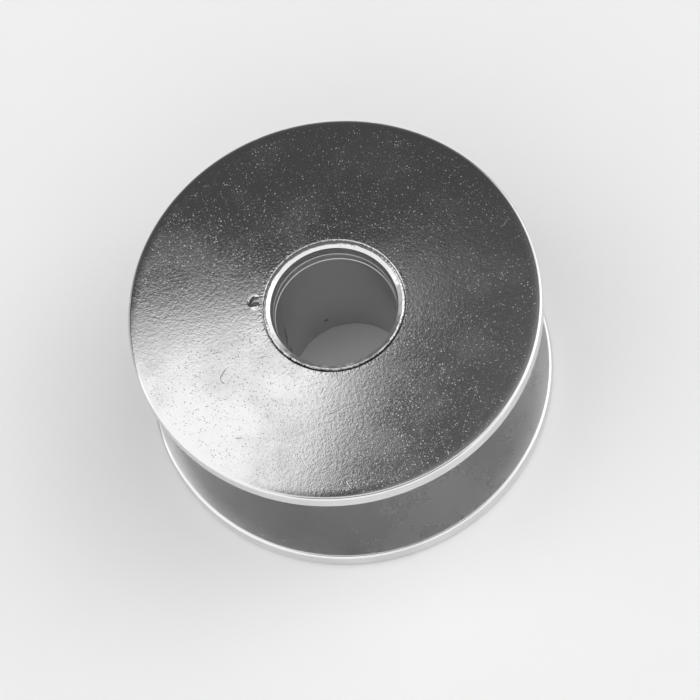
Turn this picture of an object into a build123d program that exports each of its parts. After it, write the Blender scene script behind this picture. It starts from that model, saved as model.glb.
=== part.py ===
"""A steel thread bobbin for a lockstitch sewing machine: two dished flanges swaged onto a hub tube.

Millimetres. +Z runs along the bore. The origin is on the bore's axis, at the level that the bobbin stands on.
"""

from build123d import *
import os

# Overall sizes
flange_diameter = 20.5
overall_height = 9.0

# Flanges: stamped sheet, dished so that the middle stands out past the rim
flange_thickness = 0.9
dish_rise = 0.08
rim_outer_fillet = 0.4
rim_inner_fillet = 0.2

# Hub tube: a thick wall between the flanges, and a thin spigot through each flange
bore_diameter = 6.05
hub_wall = 0.98
spigot_wall = 0.36
spigot_clearance = 0.01

# Lip: the spigot's end, spread into the flange's countersink and rolled over
lip_spread = 0.12
lip_proud = 0.02
lip_edge_depth = 0.14
countersink_depth = 0.42
countersink_mouth_fillet = 0.08
crest_width = 0.06
crest_round = 0.1

# Mouth of the bore: a slight flare, then two fine steps that the swaging punch leaves
mouth_flare = 0.15
mouth_step = 0.025
upper_step_depth = 0.6
lower_step_depth = 1.13

# Radii that the sizes above lead to
flange_radius = flange_diameter / 2
bore_radius = bore_diameter / 2
hub_radius = bore_radius + hub_wall
spigot_radius = bore_radius + spigot_wall
flange_hole_radius = spigot_radius + spigot_clearance
lip_radius = flange_hole_radius + lip_spread
mouth_radius = bore_radius + mouth_flare
crest_inside = mouth_radius + crest_round
crest_outside = crest_inside + crest_width

# Heights that the sizes above lead to, on the upper side
mid_height = overall_height / 2
face_height_at_lip = overall_height - lip_proud
rim_height = face_height_at_lip - dish_rise


def outer_face_height(radius):
    """Height of the upper flange's outer face, which falls evenly from the lip to the rim."""
    return rim_height + dish_rise * (flange_radius - radius) / (flange_radius - lip_radius)


def inner_face_height(radius):
    """Height of the upper flange's inner face, one sheet thickness below the outer one."""
    return outer_face_height(radius) - flange_thickness


def make_flange():
    """The upper flange: a dished disc with rounded rim corners and a countersunk hole."""
    hole_foot = (flange_hole_radius, inner_face_height(flange_hole_radius))
    countersink_foot = (flange_hole_radius, overall_height - countersink_depth)
    countersink_edge = (lip_radius, overall_height - lip_edge_depth)
    countersink_mouth = (lip_radius, outer_face_height(lip_radius))
    outer_rim = (flange_radius, outer_face_height(flange_radius))
    inner_rim = (flange_radius, inner_face_height(flange_radius))
    with BuildPart() as flange:
        with BuildSketch(Plane.XZ) as section:
            with BuildLine():
                Polyline(
                    hole_foot,
                    countersink_foot,
                    countersink_edge,
                    countersink_mouth,
                    outer_rim,
                    inner_rim,
                    close=True,
                )
            make_face()
            fillet(corner_at(section, countersink_mouth), countersink_mouth_fillet)
            fillet(corner_at(section, outer_rim), rim_outer_fillet)
            fillet(corner_at(section, inner_rim), rim_inner_fillet)
        revolve(axis=Axis.Z)
    return flange.part


def corner_at(section, point):
    """The corner of a half section that lies nearest to a (radius, height) point."""
    radius, height = point
    return section.vertices().sort_by_distance(Vector(radius, height))[0]


def make_hub_tube():
    """The hub tube: shouldered between the flanges, with both ends spread and rolled into lips."""
    shoulder_edge = (hub_radius, inner_face_height(hub_radius))
    shoulder_root = (spigot_radius, inner_face_height(spigot_radius))
    spread_run = (countersink_depth - lip_edge_depth) / lip_spread
    spread_foot = (spigot_radius, overall_height - countersink_depth - spigot_clearance * spread_run)
    lip_edge = (lip_radius, overall_height - lip_edge_depth)
    mouth_edge = (mouth_radius, overall_height - crest_round)
    upper_step = (bore_radius + 2 * mouth_step, overall_height - upper_step_depth)
    upper_step_foot = (bore_radius + mouth_step, upper_step[1] - mouth_step)
    lower_step = (bore_radius + mouth_step, overall_height - lower_step_depth)
    bore_end = (bore_radius, lower_step[1] - mouth_step)
    with BuildPart() as hub:
        with BuildSketch(Plane.XZ):
            with BuildLine():
                Polyline(
                    (bore_radius, mid_height),
                    (hub_radius, mid_height),
                    shoulder_edge,
                    shoulder_root,
                    spread_foot,
                    lip_edge,
                )
                EllipticalCenterArc(
                    center=(crest_outside, lip_edge[1]),
                    x_radius=lip_radius - crest_outside,
                    y_radius=lip_edge_depth,
                    start_angle=0,
                    arc_size=90,
                )
                Line((crest_outside, overall_height), (crest_inside, overall_height))
                TangentArc((crest_inside, overall_height), mouth_edge, tangent=(-1, 0))
                Polyline(
                    mouth_edge,
                    upper_step,
                    upper_step_foot,
                    lower_step,
                    bore_end,
                    (bore_radius, mid_height),
                )
            make_face()
        revolve(axis=Axis.Z)
        mirror(about=Plane.XY.offset(mid_height))
    return hub.part


upper_flange = make_flange()
lower_flange = mirror(upper_flange, about=Plane.XY.offset(mid_height))
hub_tube = make_hub_tube()

os.makedirs("parts", exist_ok=True)
export_step(upper_flange, "parts/upper_flange.step")
export_step(lower_flange, "parts/lower_flange.step")
export_step(hub_tube, "parts/hub_tube.step")
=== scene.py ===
# %% [markdown]
# # A pressed metal bobbin for an industrial sewing machine
# The real thing is three pieces of plated steel: two round flanges and a short tube. The tube's ends
# are spread over the flanges in a press, which locks them for good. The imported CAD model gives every
# size, so this lesson measures it first and hangs all the finer shapes on those measures.

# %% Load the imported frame
import math

import bpy
import numpy as np
from mathutils import Matrix, Vector


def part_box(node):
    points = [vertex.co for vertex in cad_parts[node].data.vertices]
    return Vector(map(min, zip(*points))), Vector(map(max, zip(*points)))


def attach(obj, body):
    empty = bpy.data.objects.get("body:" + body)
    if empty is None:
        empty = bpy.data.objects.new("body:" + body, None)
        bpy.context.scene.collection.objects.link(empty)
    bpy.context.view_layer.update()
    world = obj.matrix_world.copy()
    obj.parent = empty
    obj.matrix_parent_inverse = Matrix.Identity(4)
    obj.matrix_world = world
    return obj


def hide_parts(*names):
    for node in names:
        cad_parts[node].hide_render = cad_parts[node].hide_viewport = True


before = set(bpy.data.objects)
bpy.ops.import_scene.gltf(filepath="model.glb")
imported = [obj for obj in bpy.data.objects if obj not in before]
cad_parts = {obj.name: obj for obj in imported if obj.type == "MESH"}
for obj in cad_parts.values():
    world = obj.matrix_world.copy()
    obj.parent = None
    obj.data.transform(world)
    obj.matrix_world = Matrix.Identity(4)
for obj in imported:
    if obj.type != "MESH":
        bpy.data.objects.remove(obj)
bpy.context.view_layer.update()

mm = 0.001
micron = 0.000001

# %% [markdown]
# ## Measuring the turned parts
# Everything on a bobbin is turned or pressed round one axis, so two numbers say where a point is: how
# far it is from the spindle axis, and how high. The main radii and the height are read from the CAD
# model, so the main shapes follow them. The finer sizes are given where they are first needed.


# %% Radii of a CAD node
def radii_of(node):
    """Distance from the spindle axis of every vertex of a CAD node."""
    places = np.array([vertex.co[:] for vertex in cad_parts[node].data.vertices])
    return np.hypot(places[:, 0], places[:, 1])


flange_low, flange_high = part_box("upper_flange")
flange_radii = radii_of("upper_flange")
hub_radii = radii_of("hub_tube")

flange_radius = (flange_high.x - flange_low.x) / 2
overall_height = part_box("hub_tube")[1].z
mid_height = overall_height / 2
flange_thickness = 0.9 * mm
lip_over_rim = 0.1 * mm
rim_height = overall_height - lip_over_rim
hole_radius = flange_radii.min()
bore_radius = hub_radii.min()
hub_radius = hub_radii.max()
print("flange radius", round(flange_radius / mm, 3), "bore", round(bore_radius / mm, 3))
print("hub radius", round(hub_radius / mm, 3), "flange hole", round(hole_radius / mm, 3))

# %% [markdown]
# ## Camera
# A small part is shot from above with a long lens, which keeps the two flanges nearly the same size.
# The camera looks at a point just in front of the bore and is rolled a little, because the part was
# laid down by hand and not squared up with the frame. It comes early, so that every later step can be
# looked at as soon as it is made.

# %% Place the camera
look_at = Vector((0.1967 * mm, -2.5216 * mm, rim_height))
camera_elevation = math.radians(65.447)
camera_roll = math.radians(-15.018)
camera_distance = 183.746 * mm
lens_length = 194.0
sensor_width = 36.0

camera_data = bpy.data.cameras.new("studio_camera")
camera_data.lens = lens_length
camera_data.sensor_width = sensor_width
camera_data.clip_start = 0.01
camera_data.clip_end = 10.0
camera = bpy.data.objects.new("studio_camera", camera_data)
bpy.context.scene.collection.objects.link(camera)
toward_camera = Vector((0, -math.cos(camera_elevation), math.sin(camera_elevation)))
tilt = Matrix.Rotation(math.pi / 2 - camera_elevation, 4, "X")
camera.matrix_world = (
    Matrix.Translation(look_at + camera_distance * toward_camera)
    @ tilt
    @ Matrix.Rotation(camera_roll, 4, "Z")
)
bpy.context.scene.camera = camera
print("camera stands", round(camera_distance / mm), "mm from the part")

# %% [markdown]
# ## Turning a profile
# A lathe makes a round part from one profile, and so does this helper: it takes a closed outline of
# (radius, height) points and carries it round the spindle axis. Blender's Screw modifier does the same,
# but here every vertex keeps its angle and its place along the outline, so that pressed lips, nicks and
# ripples can be worked into the metal before the mesh is made.

# %% Outline and lathe helpers
sharp_edge_angle = math.radians(40)


def arc(centre, across, up, start, end, steps):
    """Points of an elliptical arc, angles in degrees from the outward direction."""
    angles = [math.radians(start + (end - start) * step / steps) for step in range(steps + 1)]
    return [(centre[0] + across * math.cos(a), centre[1] + up * math.sin(a)) for a in angles]


def run(start, end, spacing):
    """Points along a straight stretch, without its two ends."""
    steps = max(1, round(math.dist(start, end) / spacing))
    shares = [step / steps for step in range(1, steps)]
    return [
        (start[0] + (end[0] - start[0]) * share, start[1] + (end[1] - start[1]) * share)
        for share in shares
    ]


def turned(name, outline, segments, work):
    """A closed round piece. work(radius, angle, height) returns the radius and height to use."""
    outline = np.array(outline)
    rings = len(outline)
    angle = np.repeat(np.arange(segments) * math.tau / segments, rings)
    radius = np.tile(outline[:, 0], segments)
    height = np.tile(outline[:, 1], segments)
    radius, height = work(radius, angle, height)
    places = np.stack([radius * np.cos(angle), radius * np.sin(angle), height], axis=1)
    this = np.arange(segments * rings).reshape(segments, rings)
    ahead = np.roll(this, -1, axis=0)
    quads = np.stack([this, ahead, np.roll(ahead, -1, axis=1), np.roll(this, -1, axis=1)], axis=-1)
    mesh = bpy.data.meshes.new(name)
    mesh.from_pydata(places.tolist(), [], quads.reshape(-1, 4).tolist())
    mesh.polygons.foreach_set("use_smooth", [True] * len(mesh.polygons))
    mesh.set_sharp_from_angle(angle=sharp_edge_angle)
    mesh.update()
    piece = bpy.data.objects.new(name, mesh)
    bpy.context.scene.collection.objects.link(piece)
    print(name, len(mesh.vertices), "vertices,", len(mesh.polygons), "faces")
    return piece


def paint(piece, name, values):
    """Store one value per vertex, which the material reads with an Attribute node."""
    layer = piece.data.attributes.new(name, "FLOAT", "POINT")
    layer.data.foreach_set("value", np.asarray(values, dtype=np.float32))


def bump(distance, width):
    """A smooth hill: 1 at distance 0, falling to 0 at the width."""
    inside = np.clip(1 - (distance / width) ** 2, 0, 1)
    return inside**2


def ragged(angle, seed, lowest, highest):
    """A wavy value between about -1 and 1 that closes on itself round the circle."""
    draws = np.random.default_rng(seed)
    counts = np.arange(lowest, highest + 1)
    turns = draws.uniform(0, math.tau, len(counts))
    sizes = draws.uniform(0.3, 1.0, len(counts)) / counts**0.5
    total = sum(size * np.cos(count * angle + turn) for size, count, turn in zip(sizes, counts, turns))
    return total / (2 * math.sqrt((sizes**2).sum() / 2))


def away_from(radius, angle, x, y):
    """Flat distance from each point of a turned face to one spot on it."""
    return np.hypot(radius * np.cos(angle) - x, radius * np.sin(angle) - y)


# %% [markdown]
# ## Flanges
# Each flange is a disc stamped from sheet steel and very slightly dished, so that its middle stands out
# past its rim. That faint cone is why the face shows a bright fan of light on one side and is dark on the
# other. The stamping leaves a soft outer corner and a tighter inner one. The two flanges come from one
# die, so one function makes both, and the lower one is simply turned over.

# %% Flange sizes
dish = 0.08 * mm
lip_radius = 3.515 * mm
lip_over_face = 0.02 * mm
face_at_lip = overall_height - lip_over_face
outer_corner = 0.18 * mm
inner_corner = 0.2 * mm
countersink_depth = 0.42 * mm
mouth_corner = 0.02 * mm
fine_face_radius = 5.0 * mm


def face_height(radius):
    """Height of the dished outer face at a distance from the axis."""
    return rim_height + dish * (flange_radius - radius) / (flange_radius - lip_radius)


def flange_outline(face_spacing):
    """Closed outline of the upper flange, from the hole up over the face and back underneath.

    The points lie four times as close beside the lip, where the torn metal needs them.
    """
    face_start = (lip_radius + mouth_corner, face_height(lip_radius + mouth_corner))
    fine_end = (fine_face_radius, face_height(fine_face_radius))
    corner_centre = (flange_radius - outer_corner, rim_height - outer_corner)
    under = rim_height - flange_thickness
    inner_centre = (flange_radius - inner_corner, under + inner_corner)
    under_at_hole = face_height(hole_radius) - flange_thickness
    sink_bottom = (hole_radius, overall_height - countersink_depth)
    sink_top = (lip_radius, face_at_lip - mouth_corner * 0.9)
    points = [sink_bottom] + run(sink_bottom, sink_top, 0.08 * mm)
    points += [sink_top, (lip_radius + mouth_corner / 3, face_at_lip - mouth_corner / 3), face_start]
    points += run(face_start, fine_end, face_spacing / 4) + [fine_end]
    face_end = (corner_centre[0], rim_height + 0.004 * mm)
    points += run(fine_end, face_end, face_spacing)
    points += arc(corner_centre, outer_corner, outer_corner, 90, 0, 14)
    points += run(points[-1], (flange_radius, inner_centre[1]), 0.1 * mm)
    points += arc(inner_centre, inner_corner, inner_corner, 0, -90, 8)
    points += run(points[-1], (hole_radius, under_at_hole), face_spacing * 2)
    points += [(hole_radius, under_at_hole)]
    points += run(points[-1], sink_bottom, 0.15 * mm)
    return points


print("flange outline has", len(flange_outline(0.2 * mm)), "points")

# %% [markdown]
# ## Dents and ripples in the flange
# No stamped face is truly flat. A ripple of a thousandth of a millimetre is far too small to feel, but it
# bends the edge of a reflection. The rim has the small nicks that bobbins give each other in a tray. In
# one spot beside the lip the punch tore the plating, which left a raised flake and a crescent groove.
# All round the lip the edge of the face is a little crumbled. Each of these is a small change of the
# radius or the height of some vertices, so it is real metal and not only shading.

# %% Places and sizes of the damage
groove_place = (-3.70 * mm, 1.30 * mm)
groove_radius = 0.25 * mm
groove_depth = 0.02 * mm
flake_place = (-3.74 * mm, 1.05 * mm)
flake_height = 0.024 * mm
nick_depth = 0.02 * mm
nick_reach = 0.3 * mm
print("the flake stands", round(flake_height / micron), "thousandths of a millimetre proud")


# %% Work the flange faces
def on_outer_face(height):
    """True for the vertices of the dished face and the start of its rim corner."""
    return height > rim_height - 0.05 * mm


def torn_groove(radius, angle):
    """The crescent where the plating came away: 1 at its deepest line."""
    middle_x, middle_y = groove_place
    bearing = np.arctan2(radius * np.sin(angle) - middle_y, radius * np.cos(angle) - middle_x)
    behind = np.clip(1.6 * np.cos(bearing - math.radians(135)), 0, 1)
    return bump(away_from(radius, angle, middle_x, middle_y) - groove_radius, 0.1 * mm) * behind


def nicked(radius, angle, seed, least):
    """The radius with shallow nicks in the rim. A higher least value leaves fewer of them."""
    nicks = np.clip(ragged(angle, seed, 40, 90) - least, 0, None) * bump(flange_radius - radius, nick_reach)
    return radius - nick_depth * nicks


def work_upper_flange(radius, angle, height):
    """Ripple, rim nicks, torn spot and crumbled hole edge of the upper flange."""
    on_top = on_outer_face(height)
    ripple = 1.1 * ragged(angle, 3, 2, 7) * (radius / flange_radius)
    height = height + np.where(on_top, ripple * micron, 0)
    radius = nicked(radius, angle, 11, 0.75)
    flake = bump(away_from(radius, angle, *flake_place), 0.2 * mm)
    burr = flake_height * flake - groove_depth * torn_groove(radius, angle)
    height = height + np.where(on_top, burr * (1 + 0.7 * ragged(angle, 31, 60, 160)), 0)
    crumbs = np.random.default_rng(41).uniform(-1, 1, len(radius))
    beside_lip = bump(radius - lip_radius - 0.1 * mm, 0.16 * mm) * (radius > lip_radius + mouth_corner / 2)
    height = height + np.where(on_top, 1.6 * micron * crumbs * beside_lip, 0)
    at_mouth = on_top * bump(radius - lip_radius - mouth_corner, 0.03 * mm)
    radius = radius + 0.008 * mm * (crumbs + 1) * at_mouth
    return radius, np.minimum(height, overall_height)


def work_lower_flange(radius, angle, height):
    """The lower flange has its own ripple and nicks."""
    ripple = 1.3 * ragged(angle, 5, 2, 6) * (radius / flange_radius)
    height = height + np.where(on_outer_face(height), ripple * micron, 0)
    return nicked(radius, angle, 17, 0.7), height


upper_flange = turned("flange_upper", flange_outline(0.2 * mm), 720, work_upper_flange)
lower_flange = turned("flange_lower", flange_outline(0.3 * mm), 540, work_lower_flange)

# %% Turn the lower flange over
turned_over = Matrix.Translation((0, 0, overall_height)) @ Matrix.Rotation(math.pi, 4, "X")
lower_flange.data.transform(turned_over)
lower_flange.data.update()
print("lower flange reaches down to", round(min(v.co.z for v in lower_flange.data.vertices) / mm, 3))

# %% [markdown]
# ## Hub tube
# The hub is one turned tube. Between the flanges its wall is thick, and the shoulders at its ends hold
# the flanges apart. A thin collar passes through each flange, and the press spreads its end over the
# countersink into a rolled lip. The punch leaves a flare in the upper mouth of the bore and two fine
# rings below it, and the lower mouth is given a plain rounded edge. Steel that is stretched this far
# tears a little, so the lip's outer edge is ragged. Dirt collects beside it, and the shade in that narrow
# gap is painted into the colour together with the dirt.

# %% Hub sizes
collar_radius = hole_radius - 0.01 * mm
lip_edge_depth = 0.1 * mm
flare_angle = 29
flare_foot = (bore_radius + 0.165 * mm, 0.11 * mm)
mouth_round = 0.09 * mm
crest_round = 0.04 * mm
crest_radius = lip_radius - 0.135 * mm
lip_edge = (lip_radius - 0.02 * mm, 0.045 * mm)
ring_step = 0.025 * mm
upper_ring_depth = 0.6 * mm
lower_ring_depth = 1.13 * mm
plain_mouth = (0.08 * mm, 0.09 * mm)
arc_steps = 8


def hub_end(top, flared):
    """Outline of one end of the hub, from the bore wall over the lip to the shoulder.

    A flared end has the two rings and the wide mouth. The other kind has a plain mouth.
    """
    upper_ring = bore_radius + 2 * ring_step
    lower_ring = bore_radius + ring_step
    points = [(bore_radius, top - lower_ring_depth - ring_step)]
    if flared:
        points += [(lower_ring, top - lower_ring_depth)]
        points += run(points[-1], (lower_ring, top - upper_ring_depth - ring_step), 0.15 * mm)
        points += [(lower_ring, top - upper_ring_depth - ring_step), (upper_ring, top - upper_ring_depth)]
        lean = math.radians(90 + flare_angle)
        mouth_centre = (
            flare_foot[0] - mouth_round * math.cos(lean),
            top - flare_foot[1] - mouth_round * math.sin(lean),
        )
        mouth = arc(mouth_centre, mouth_round, mouth_round, 163, 90 + flare_angle, arc_steps)
    else:
        across, up = plain_mouth
        mouth = arc((bore_radius + across, top - 0.1 * mm), across, up, 180, 100, arc_steps)
    crest_centre = (crest_radius, top - crest_round)
    crest = arc(crest_centre, crest_round, crest_round, 90 + flare_angle * flared, 30, arc_steps)
    points += run(points[-1], mouth[0], 0.06 * mm) + mouth
    points += run(points[-1], crest[0], 0.03 * mm) + crest
    rolled_end = (lip_edge[0], top - lip_edge[1])
    points += run(points[-1], rolled_end, 0.03 * mm) + [rolled_end]
    points += [(lip_edge[0] - 0.012 * mm, top - lip_edge_depth)]
    collar_top = (collar_radius, top - countersink_depth)
    points += run(points[-1], collar_top, 0.06 * mm) + [collar_top]
    shoulder = face_height(collar_radius) - flange_thickness
    points += run(collar_top, (collar_radius, shoulder), 0.15 * mm)
    points += [(collar_radius, shoulder), (hub_radius, face_height(hub_radius) - flange_thickness)]
    return points


def hub_outline():
    """Closed outline of the whole tube: the upper end, the winding wall, the lower end and the bore."""
    upper = hub_end(overall_height, True)
    plain_end = reversed(hub_end(overall_height, False))
    lower = [(radius, overall_height - height) for radius, height in plain_end]
    winding_wall = run(upper[-1], lower[0], 0.6 * mm)
    bore_wall = run(lower[-1], upper[0], 0.2 * mm)
    return upper + winding_wall + lower + bore_wall


print("hub outline has", len(hub_outline()), "points")


# %% Work the hub's lips
def front_share(angle):
    """1 on the side where the lip is torn most and the painted seam shade is heaviest, falling to 0 on the
    other side.
    """
    return np.clip(1.5 * np.cos(angle - math.radians(272)), 0, 1)


def work_hub(radius, angle, height):
    """Lip edges torn at the front, inner sides pulled inward at the back, and crumbled metal."""
    from_end = np.minimum(height, overall_height - height)
    at_lip = (radius > flare_foot[0]) & (from_end < lip_edge_depth + 0.01 * mm)
    outward = np.clip((radius - flare_foot[0]) / (0.15 * mm), 0, 1) * at_lip
    at_edge = np.clip((radius - crest_radius) / (0.06 * mm), 0, 1) * at_lip
    torn = 0.5 + 0.35 * ragged(angle, 7, 3, 40) + 0.3 * ragged(angle, 19, 60, 190)
    crumbs = np.random.default_rng(23).uniform(-1, 1, len(radius))
    radius = radius - 0.025 * torn * mm * front_share(angle) * at_edge
    pulled_in = 0.05 * np.clip(np.sin(angle), 0, 1) + 0.02 * ragged(angle, 29, 4, 60)
    radius = radius - pulled_in * mm * outward * (1 - at_edge) - 0.006 * mm * (crumbs + 1) * at_edge
    uneven = 0.004 + 0.003 * ragged(angle, 9, 2, 30) + 0.010 * torn * at_edge
    uneven = uneven + (0.002 + 0.004 * at_edge) * crumbs
    height = height + np.where(height > mid_height, -1, 1) * np.clip(uneven, 0, 1) * mm * outward
    return radius, height


hub_tube = turned("hub", hub_outline(), 600, work_hub)

# %% [markdown]
# ## Telling the materials where things are
# Wear follows the shape: edges are rubbed bright, and seams hold dirt. The seam value also carries
# painted shade: the dark gap between the lip and the flange is painted with the dirt, heavier on the
# front side. The bore, the winding wall and the inner faces keep the dull skin of the plating bath,
# because nothing ever polishes them. Two thin streaks and a dot of old oil mark the bore. A painted
# value on each vertex carries all this into the material. The wear, the dull skin and the stains stay
# right from every side and in any light, but the painted seam shade does not.


# %% Paint wear, seam, dull and stain values
def spots(piece):
    """Radius, angle, height and distance from the nearer end, for every vertex of a piece."""
    places = np.array([vertex.co[:] for vertex in piece.data.vertices])
    radius = np.hypot(places[:, 0], places[:, 1])
    angle = np.arctan2(places[:, 1], places[:, 0])
    from_end = np.minimum(places[:, 2], overall_height - places[:, 2])
    return radius, angle, places[:, 2], from_end


for flange in (upper_flange, lower_flange):
    radius, angle, height, from_end = spots(flange)
    rim = np.clip((radius - (flange_radius - 0.45 * mm)) / (0.35 * mm), 0, 1)
    inner_face = (from_end > 0.6 * mm) & (radius < flange_radius - 0.1 * mm)
    # The seam value is dirt and painted shade: the dark gap beside the lip is painted as a tone, heavier on
    # the front side. The torn groove is darkened with it.
    dirt_and_shade_side = 0.45 + 0.4 * front_share(angle)
    seam_width = (0.10 + 0.04 * ragged(angle, 13, 4, 70)) * mm
    beside_lip = bump(np.maximum(radius - lip_radius, 0), seam_width) * (from_end < 0.5 * mm)
    paint(flange, "rubbed", rim)
    torn = torn_groove(radius, angle) * (height > mid_height)
    paint(flange, "seam", np.maximum(beside_lip * dirt_and_shade_side, 0.7 * torn))
    paint(flange, "dull", inner_face * 1.0)

radius, angle, height, from_end = spots(hub_tube)
lip_side = (radius > crest_radius) & (from_end < countersink_depth + 0.01 * mm)
in_bore = radius < bore_radius + 0.07 * mm
drop = rim_height - height
first_streak = bump(angle - np.radians(np.interp(drop / mm, [3.7, 5.2, 6.0], [152, 155, 160])), 0.05)
first_streak = first_streak * bump(drop - 4.9 * mm, 1.5 * mm)
second_streak = bump(angle - np.radians(153), 0.04) * bump(drop - 6.8 * mm, 0.8 * mm)
dot = bump(np.hypot((angle - math.radians(101)) * bore_radius, drop - 7.7 * mm), 0.2 * mm)
paint(hub_tube, "rubbed", bump(from_end, 0.12 * mm))
# The lip's seam value is dirt and the painted shade of the gap beside the lip, heavier on the front side.
edge_dirt_and_shade = np.clip(from_end / (0.07 * mm), 0, 1) * (0.4 + 0.4 * front_share(angle))
pressed = (radius > flare_foot[0] - 0.03 * mm) & (from_end < countersink_depth)
paint(hub_tube, "seam", np.where(lip_side, edge_dirt_and_shade, 0))
winding_wall = (radius > hub_radius - 0.02 * mm) & (from_end > 2 * countersink_depth)
paint(hub_tube, "dull", np.where(in_bore | winding_wall, 1.0, 0.4 * pressed))
paint(hub_tube, "stain", np.maximum(first_streak + second_streak, dot) * in_bore)
print("painted rubbed, seam, dull and stain values")

# %% [markdown]
# ## Finishes
# The bobbins are plated in a turning barrel, which leaves a bright but grainy skin: a fine orange peel,
# with scattered pimples that flash when they happen to face a lamp. Flat grey paint could never do that,
# because the flashes belong to the light. So the grain is built as height, and a Bump node turns it into
# tilt. Grain, scratches, haze, and the seams' dirt with its painted shade are each a node group, so that
# the flanges and the hub can share them with values of their own.


# %% Small helpers for node trees
def add(tree, kind, values=None, **settings):
    """Add a node, set its plain socket values by name, and set its options."""
    node = tree.nodes.new(kind)
    for key, value in settings.items():
        setattr(node, key, value)
    for key, value in (values or {}).items():
        node.inputs[key].default_value = value
    return node


def calculate(tree, operation, first, second):
    """A Math node. Either side may be a socket or a number."""
    node = add(tree, "ShaderNodeMath", operation=operation)
    for place, value in enumerate((first, second)):
        if isinstance(value, bpy.types.NodeSocket):
            tree.links.new(value, node.inputs[place])
        else:
            node.inputs[place].default_value = value
    return node.outputs[0]


def ranged(tree, value, low, high, new_low, new_high):
    """A Map Range node that eases between two values."""
    ends = {"From Min": low, "From Max": high, "To Min": new_low, "To Max": new_high}
    node = add(tree, "ShaderNodeMapRange", ends, interpolation_type="SMOOTHSTEP")
    tree.links.new(value, node.inputs["Value"])
    return node.outputs["Result"]


def new_group(name, inputs, outputs):
    """An empty shader node group with named sockets, and its two end nodes."""
    tree = bpy.data.node_groups.new(name, "ShaderNodeTree")
    for label, kind in inputs:
        tree.interface.new_socket(name=label, in_out="INPUT", socket_type=kind)
    for label in outputs:
        tree.interface.new_socket(name=label, in_out="OUTPUT", socket_type="NodeSocketFloat")
    return tree, tree.nodes.new("NodeGroupInput"), tree.nodes.new("NodeGroupOutput")


VECTOR, NUMBER = "NodeSocketVector", "NodeSocketFloat"

# %% [markdown]
# ### Barrel grain
# Two things make the grain. A noise is the orange peel that covers everything. A Voronoi texture places
# the pimples: only some of its cells are let through, and each of those becomes a small dome with a
# height of its own. A large soft noise crowds them together in some areas. Each material places the
# group twice: once for the skin, and once for a finer grit of pimples.

# %% Barrel grain group
grain, grain_in, grain_out = new_group(
    "barrel_grain",
    [("Place", VECTOR), ("Peel per mm", NUMBER), ("Pimples per mm", NUMBER), ("Pimple share", NUMBER)],
    ["Peel", "Pimples"],
)
peel = add(grain, "ShaderNodeTexNoise", {"Detail": 3.0, "Roughness": 0.75})
grain.links.new(grain_in.outputs["Place"], peel.inputs["Vector"])
grain.links.new(grain_in.outputs["Peel per mm"], peel.inputs["Scale"])
cells = add(grain, "ShaderNodeTexVoronoi")
grain.links.new(grain_in.outputs["Place"], cells.inputs["Vector"])
grain.links.new(grain_in.outputs["Pimples per mm"], cells.inputs["Scale"])
dice = add(grain, "ShaderNodeSeparateColor")
grain.links.new(cells.outputs["Color"], dice.inputs["Color"])
patchy = add(grain, "ShaderNodeTexNoise", {"Scale": 0.9, "Detail": 2.0})
grain.links.new(grain_in.outputs["Place"], patchy.inputs["Vector"])
crowding = ranged(grain, patchy.outputs["Fac"], 0.35, 0.65, 0.5, 1.5)
crowded_share = calculate(grain, "MULTIPLY", grain_in.outputs["Pimple share"], crowding)
let_through = calculate(grain, "LESS_THAN", dice.outputs["Red"], crowded_share)
dome = ranged(grain, cells.outputs["Distance"], 0.0, 0.36, 1.0, 0.0)
tallness = calculate(grain, "ADD", dice.outputs["Green"], 0.4)
pimple = calculate(grain, "MULTIPLY", calculate(grain, "MULTIPLY", dome, let_through), tallness)
grain.links.new(peel.outputs["Fac"], grain_out.inputs["Peel"])
grain.links.new(pimple, grain_out.inputs["Pimples"])
print("group", grain.name, "has", len(grain.nodes), "nodes")

# %% [markdown]
# ### Handling scratches
# Bobbins rub against each other in a tray, which leaves short curved hairlines here and there. The
# places where a smooth noise crosses its middle value are long thin curves of that kind, like the height
# lines on a map. A second noise lets only a few stretches of them through.

# %% Handling scratches group
scratches, scratches_in, scratches_out = new_group(
    "handling_scratches", [("Place", VECTOR), ("Share", NUMBER)], ["Scratch"]
)
hills = add(scratches, "ShaderNodeTexNoise", {"Scale": 0.55, "Detail": 0.0})
scratches.links.new(scratches_in.outputs["Place"], hills.inputs["Vector"])
off_level = calculate(scratches, "SUBTRACT", hills.outputs["Fac"], 0.5)
off_level = calculate(scratches, "ABSOLUTE", off_level, 0.0)
line = ranged(scratches, off_level, 0.002, 0.011, 1.0, 0.0)
patches = add(scratches, "ShaderNodeTexNoise", {"Scale": 0.7, "Detail": 1.0})
scratches.links.new(scratches_in.outputs["Place"], patches.inputs["Vector"])
cut_off = calculate(scratches, "SUBTRACT", 1.0, scratches_in.outputs["Share"])
above_cut = calculate(scratches, "SUBTRACT", patches.outputs["Fac"], cut_off)
kept = calculate(scratches, "MULTIPLY", above_cut, 12.0)
kept = ranged(scratches, kept, 0.0, 1.0, 0.0, 1.0)
scratches.links.new(calculate(scratches, "MULTIPLY", line, kept), scratches_out.inputs["Scratch"])
print("group", scratches.name, "has", len(scratches.nodes), "nodes")

# %% [markdown]
# ### Haze, and seam dirt with painted shade
# Haze is the faint cloudiness of oil and fingers: large soft patches where the shine is a little less
# sharp. The seam group starts from the painted seam value and breaks it up, so that the seam's dark tone,
# real dirt together with the painted shade of the gap between lip and flange, sits in crumbs and streaks
# instead of an even line.

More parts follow.
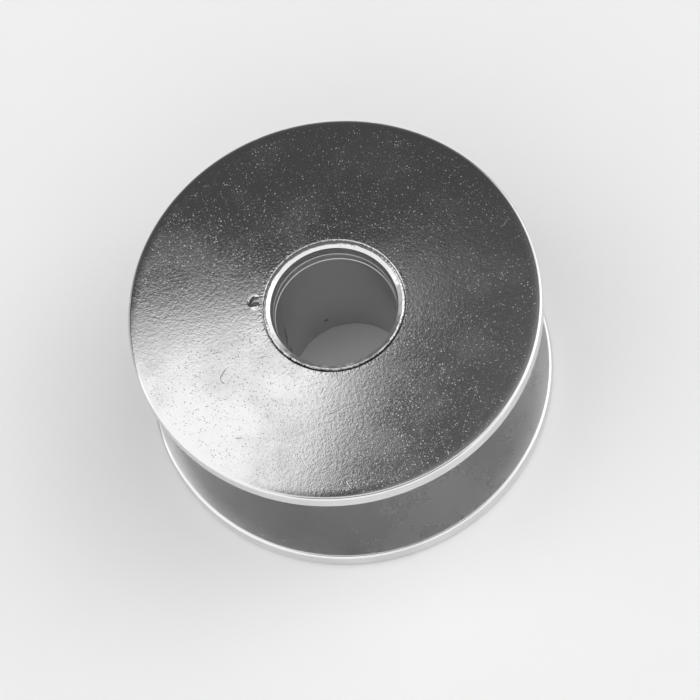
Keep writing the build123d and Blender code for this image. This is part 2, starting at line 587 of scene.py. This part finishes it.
# %% Haze group, and the group for seam dirt and painted shade
haze, haze_in, haze_out = new_group("handling_haze", [("Place", VECTOR)], ["Haze"])
clouds = add(haze, "ShaderNodeTexNoise", {"Scale": 0.32, "Detail": 4.0, "Roughness": 0.6})
haze.links.new(haze_in.outputs["Place"], clouds.inputs["Vector"])
haze.links.new(ranged(haze, clouds.outputs["Fac"], 0.35, 0.7, 0.0, 1.0), haze_out.inputs["Haze"])

# The seam group turns the seam value into the seam's dark tone: real dirt together with the painted shade
# of the gap beside the lip.
seam_dirt_and_shade_nodes, seam_dirt_and_shade_in, seam_dirt_and_shade_out = new_group("seam_dirt_and_shade", [("Place", VECTOR), ("Seam", NUMBER)], ["Grime"])
crumbs = add(seam_dirt_and_shade_nodes, "ShaderNodeTexNoise", {"Scale": 9.0, "Detail": 3.0, "Roughness": 0.7})
seam_dirt_and_shade_nodes.links.new(seam_dirt_and_shade_in.outputs["Place"], crumbs.inputs["Vector"])
broken = calculate(seam_dirt_and_shade_nodes, "ADD", seam_dirt_and_shade_in.outputs["Seam"], crumbs.outputs["Fac"])
seam_dirt_and_shade_nodes.links.new(ranged(seam_dirt_and_shade_nodes, broken, 0.8, 1.15, 0.0, 1.0), seam_dirt_and_shade_out.inputs["Grime"])
print("groups", haze.name, "and", seam_dirt_and_shade_nodes.name, "are ready")

# %% [markdown]
# ### The plated metal
# One function lays out the plating: a bright metal whose roughness and tilt come from the groups. Places
# are measured in millimetres, because grain is easier to think about as so many pimples to the
# millimetre. The bump distances are real heights too, about a thousandth of a millimetre.

# %% Values of the plating
peel_per_mm = 6.0
skin_pimples_per_mm = 7.5
grit_pimples_per_mm = 13.0
grit_share = 1.3
grit_height = 0.6
scratch_share = 0.36
scratch_depth = 1.5 * micron
worn_smooth = 0.85
hidden_by_dull_skin = 0.9
clean_tone, hazy_tone = (0.76, 0.76, 0.76), (0.69, 0.69, 0.69)
clean_roughness, hazy_roughness = 0.04, 0.09
pimple_roughness = 0.25
dirt_roughness = 0.35
# The dark seam tone is real dirt and painted shade in the gap between lip and flange.
stain_tone, dirt_and_shade_tone = (0.08, 0.08, 0.08), (0.05, 0.05, 0.05)
print("clean plating has a roughness of", clean_roughness, "to", hazy_roughness)


# %% Plated metal
def place_in_mm(tree):
    """Object coordinates in millimetres."""
    source = add(tree, "ShaderNodeTexCoord")
    scaled = add(tree, "ShaderNodeVectorMath", {"Scale": 1000.0}, operation="SCALE")
    tree.links.new(source.outputs["Object"], scaled.inputs[0])
    return scaled.outputs["Vector"]


def use_group(tree, group, values=None, **sources):
    """Place a node group, with plain values by name and links by name."""
    node = add(tree, "ShaderNodeGroup", node_tree=group)
    for key, value in (values or {}).items():
        node.inputs[key].default_value = value
    for key, source in sources.items():
        tree.links.new(source, node.inputs[key])
    return node


def mixed_colour(tree, amount, first, second):
    """Mix two colours. Each may be a socket or a plain grey value."""
    node = add(tree, "ShaderNodeMix", data_type="RGBA")
    tree.links.new(amount, node.inputs["Factor"])
    for socket, value in ((node.inputs[6], first), (node.inputs[7], second)):
        if isinstance(value, bpy.types.NodeSocket):
            tree.links.new(value, socket)
        else:
            socket.default_value = (value[0], value[1], value[2], 1)
    return node.outputs[2]


def tilted(tree, height, distance, before=None):
    """A Bump node on top of an earlier one."""
    node = add(tree, "ShaderNodeBump", {"Strength": 1.0, "Distance": distance})
    tree.links.new(height, node.inputs["Height"])
    if before is not None:
        tree.links.new(before, node.inputs["Normal"])
    return node.outputs["Normal"]


def plated_metal(name, pimple_share, pimple_height, peel_height, dull_colour, dullness, stained):
    """Bright plated steel with barrel grain, scratches, haze, rubbed edges, and dirt with painted shade in
    its seams.
    """
    material = bpy.data.materials.new(name)
    material.use_nodes = True
    tree = material.node_tree
    tree.nodes.clear()
    shader = add(tree, "ShaderNodeBsdfPrincipled", {"Metallic": 1.0})
    output = add(tree, "ShaderNodeOutputMaterial")
    tree.links.new(shader.outputs["BSDF"], output.inputs["Surface"])
    place = place_in_mm(tree)
    skin_values = {
        "Peel per mm": peel_per_mm,
        "Pimples per mm": skin_pimples_per_mm,
        "Pimple share": pimple_share,
    }
    grit_values = {"Pimples per mm": grit_pimples_per_mm, "Pimple share": grit_share * pimple_share}
    skin = use_group(tree, grain, skin_values, Place=place)
    grit = use_group(tree, grain, grit_values, Place=place)
    lines = use_group(tree, scratches, {"Share": scratch_share}, Place=place)
    cloud = use_group(tree, haze, Place=place)
    seam = add(tree, "ShaderNodeAttribute", attribute_name="seam")
    dirt_and_shade = use_group(tree, seam_dirt_and_shade_nodes, Place=place, Seam=seam.outputs["Fac"])
    rubbed = add(tree, "ShaderNodeAttribute", attribute_name="rubbed")
    dull = add(tree, "ShaderNodeAttribute", attribute_name="dull")
    worn = calculate(tree, "MULTIPLY", rubbed.outputs["Fac"], worn_smooth)
    hidden = calculate(tree, "MULTIPLY", dull.outputs["Fac"], hidden_by_dull_skin)
    unworn = calculate(tree, "SUBTRACT", 1.0, worn)
    untouched = calculate(tree, "MULTIPLY", unworn, calculate(tree, "SUBTRACT", 1.0, hidden))
    pimples = calculate(tree, "MULTIPLY", skin.outputs["Pimples"], untouched)
    fine_pimples = calculate(tree, "MULTIPLY", grit.outputs["Pimples"], untouched)

    clean = mixed_colour(tree, cloud.outputs["Haze"], clean_tone, hazy_tone)
    roughness = ranged(tree, cloud.outputs["Haze"], 0.0, 1.0, clean_roughness, hazy_roughness)
    clean = mixed_colour(tree, dull.outputs["Fac"], clean, dull_colour)
    dulled = calculate(tree, "MULTIPLY", dull.outputs["Fac"], dullness)
    roughness = calculate(tree, "ADD", roughness, dulled)
    frosted = calculate(tree, "MULTIPLY", pimples, pimple_roughness)
    roughness = calculate(tree, "ADD", roughness, frosted)
    if stained:
        stain = add(tree, "ShaderNodeAttribute", attribute_name="stain")
        clean = mixed_colour(tree, stain.outputs["Fac"], clean, stain_tone)
    # Seams are darkened toward the dark seam tone: real dirt and painted shade together.
    colour = mixed_colour(tree, dirt_and_shade.outputs["Grime"], clean, dirt_and_shade_tone)
    tree.links.new(colour, shader.inputs["Base Color"])
    dirty = calculate(tree, "MULTIPLY", dirt_and_shade.outputs["Grime"], dirt_roughness)
    tree.links.new(calculate(tree, "ADD", roughness, dirty), shader.inputs["Roughness"])

    tilt_of_peel = tilted(tree, skin.outputs["Peel"], peel_height)
    tilt_of_grit = tilted(tree, fine_pimples, grit_height * pimple_height, tilt_of_peel)
    tilt_of_pimples = tilted(tree, pimples, pimple_height, tilt_of_grit)
    downward = calculate(tree, "MULTIPLY", untouched, -1.0)
    cut = calculate(tree, "MULTIPLY", lines.outputs["Scratch"], downward)
    tilt_of_all = tilted(tree, cut, scratch_depth, tilt_of_pimples)
    tree.links.new(tilt_of_all, shader.inputs["Normal"])
    print(name, "has", len(tree.nodes), "nodes")
    return material


flange_plating = plated_metal(
    "flange_plating",
    pimple_share=0.6,
    pimple_height=0.8 * micron,
    peel_height=1.6 * micron,
    dull_colour=(0.74, 0.74, 0.74),
    dullness=0.2,
    stained=False,
)
hub_plating = plated_metal(
    "hub_plating",
    pimple_share=0.2,
    pimple_height=1.2 * micron,
    peel_height=0.6 * micron,
    dull_colour=(0.63, 0.63, 0.63),
    dullness=0.3,
    stained=True,
)
upper_flange.data.materials.append(flange_plating)
lower_flange.data.materials.append(flange_plating)
hub_tube.data.materials.append(hub_plating)

# %% [markdown]
# ## Floor
# A plain sheet of white card. It is matte with a faint mottle, and it reaches far enough that the metal
# has only card to reflect when it looks down.

# %% Card floor
floor_reach = 1200 * mm
floor_mesh = bpy.data.meshes.new("card_floor")
corners = [(-1, -1, 0), (1, -1, 0), (1, 1, 0), (-1, 1, 0)]
floor_mesh.from_pydata([Vector(corner) * floor_reach for corner in corners], [], [(0, 1, 2, 3)])
floor = bpy.data.objects.new("card_floor", floor_mesh)
bpy.context.scene.collection.objects.link(floor)

card = bpy.data.materials.new("white_card")
card.use_nodes = True
card_shader = card.node_tree.nodes["Principled BSDF"]
card_shader.inputs["Roughness"].default_value = 0.9
card_shader.inputs["Specular IOR Level"].default_value = 0.1
mottle = add(card.node_tree, "ShaderNodeTexNoise", {"Scale": 0.15, "Detail": 3.0})
card.node_tree.links.new(place_in_mm(card.node_tree), mottle.inputs["Vector"])
darkest_card, lightest_card = (0.91, 0.91, 0.91), (0.93, 0.93, 0.93)
card_colour = mixed_colour(card.node_tree, mottle.outputs["Fac"], darkest_card, lightest_card)
card.node_tree.links.new(card_colour, card_shader.inputs["Base Color"])
floor_mesh.materials.append(card)

# %% [markdown]
# ## Studio light
# Polished metal shows nothing but its surroundings, so the light is designed as surroundings: a bright
# tent with soft-edged panels in it. A lamp and two glows add light. A gap in the tent behind the part, a
# dark strip overhead and the camera's own stand take light away, and a wedge of tent that shows through
# the gap makes the fan on the face. Each panel is given by its corners on the sky, as azimuth and
# elevation. The sides of a panel are planes through the part, and a direction is inside the panel when it
# is on the inner side of all of them. Lamps standing on the floor would work too, but panels painted on
# the world are equally far from every point of the part, and each gets a soft border for free.

# %% Panels on the world
world = bpy.data.worlds.new("studio")
world.use_nodes = True
bpy.context.scene.world = world
sky = world.node_tree
sky.nodes.clear()
look = add(sky, "ShaderNodeTexCoord")


def on_sky(azimuth, elevation):
    """Unit vector toward a place on the sky, in degrees. Azimuth 0 is +X, 90 is +Y."""
    turn, rise = math.radians(azimuth), math.radians(elevation)
    return Vector((math.cos(rise) * math.cos(turn), math.cos(rise) * math.sin(turn), math.sin(rise)))


def panel(corners, brightness, borders):
    """One soft panel. Its corners go round it in order, with the width of one border per side."""
    places = [on_sky(*corner) for corner in corners]
    middle = sum(places, Vector()).normalized()
    inside = brightness
    for first, second, border in zip(places, places[1:] + places[:1], borders):
        side = first.cross(second).normalized()
        if side.dot(middle) < 0:
            side = -side
        dot = add(sky, "ShaderNodeVectorMath", operation="DOT_PRODUCT")
        sky.links.new(look.outputs["Generated"], dot.inputs[0])
        dot.inputs[1].default_value = side
        soft = math.sin(math.radians(border))
        inside = calculate(sky, "MULTIPLY", ranged(sky, dot.outputs["Value"], -soft, soft, 0, 1), inside)
    return inside


tent = 1.22
gap_darkness = 0.94
right_lamp = panel([(-14, 24), (20, 24), (24, 56), (-18, 56)], 1.3, [5, 9, 5, 5])
gap_at_back = panel([(45, -4), (165, -4), (114, 72), (66, 73)], 1.0, [2, 2, 2, 10])
lit_wedge = panel([(85.2, 64.6), (170, 8), (225, 16)], 1.0, [1.2, 1.2, 1.2])
overhead = panel([(85.2, 64.6), (213, 50), (270, 44), (330, 46), (35, 70)], 0.22, [1.2, 3, 5, 9, 5])
camera_stand = panel([(228, 46), (312, 46), (325, 67), (215, 67)], 0.85, [4, 4, 4, 4])
low_glow = panel([(20, -8), (170, -8), (140, 35), (30, 35)], 0.12, [3, 14, 12, 14])
left_glow = panel([(132, 12), (172, 8), (160, 42), (128, 44)], 0.55, [6, 6, 6, 8])
open_gap = calculate(sky, "MULTIPLY", gap_at_back, calculate(sky, "SUBTRACT", 1.0, lit_wedge))
dark_gap = calculate(sky, "MULTIPLY", open_gap, gap_darkness)
unlit = calculate(sky, "MAXIMUM", dark_gap, calculate(sky, "MAXIMUM", overhead, camera_stand))
light = calculate(sky, "ADD", right_lamp, tent)
light = calculate(sky, "MULTIPLY", light, calculate(sky, "SUBTRACT", 1.0, unlit))
light = calculate(sky, "ADD", light, calculate(sky, "ADD", low_glow, left_glow))
studio = add(sky, "ShaderNodeBackground", {"Strength": 1.0})
sky.links.new(light, studio.inputs["Color"])
backdrop = add(sky, "ShaderNodeBackground", {"Color": (0.8, 0.8, 0.8, 1), "Strength": 1.0})
path = add(sky, "ShaderNodeLightPath")
seen = add(sky, "ShaderNodeMixShader")
sky.links.new(path.outputs["Is Camera Ray"], seen.inputs["Fac"])
sky.links.new(studio.outputs["Background"], seen.inputs[1])
sky.links.new(backdrop.outputs["Background"], seen.inputs[2])
sky_output = add(sky, "ShaderNodeOutputWorld")
sky.links.new(seen.outputs["Shader"], sky_output.inputs["Surface"])
bpy.context.scene.view_settings.view_transform = "Standard"
print("studio has", len(sky.nodes), "nodes")

# %% [markdown]
# ## Handing the pieces over
# Each finished piece stands for one CAD node and moves with the only body the part has. The second
# has to fit in the first.

# %% Tie the pieces to the frame
for piece, node, slot in (
    (upper_flange, "upper_flange", "flange_nickel"),
    (lower_flange, "lower_flange", "flange_nickel"),
    (hub_tube, "hub_tube", "hub_nickel"),
):
    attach(piece, "root")
    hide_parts(node)
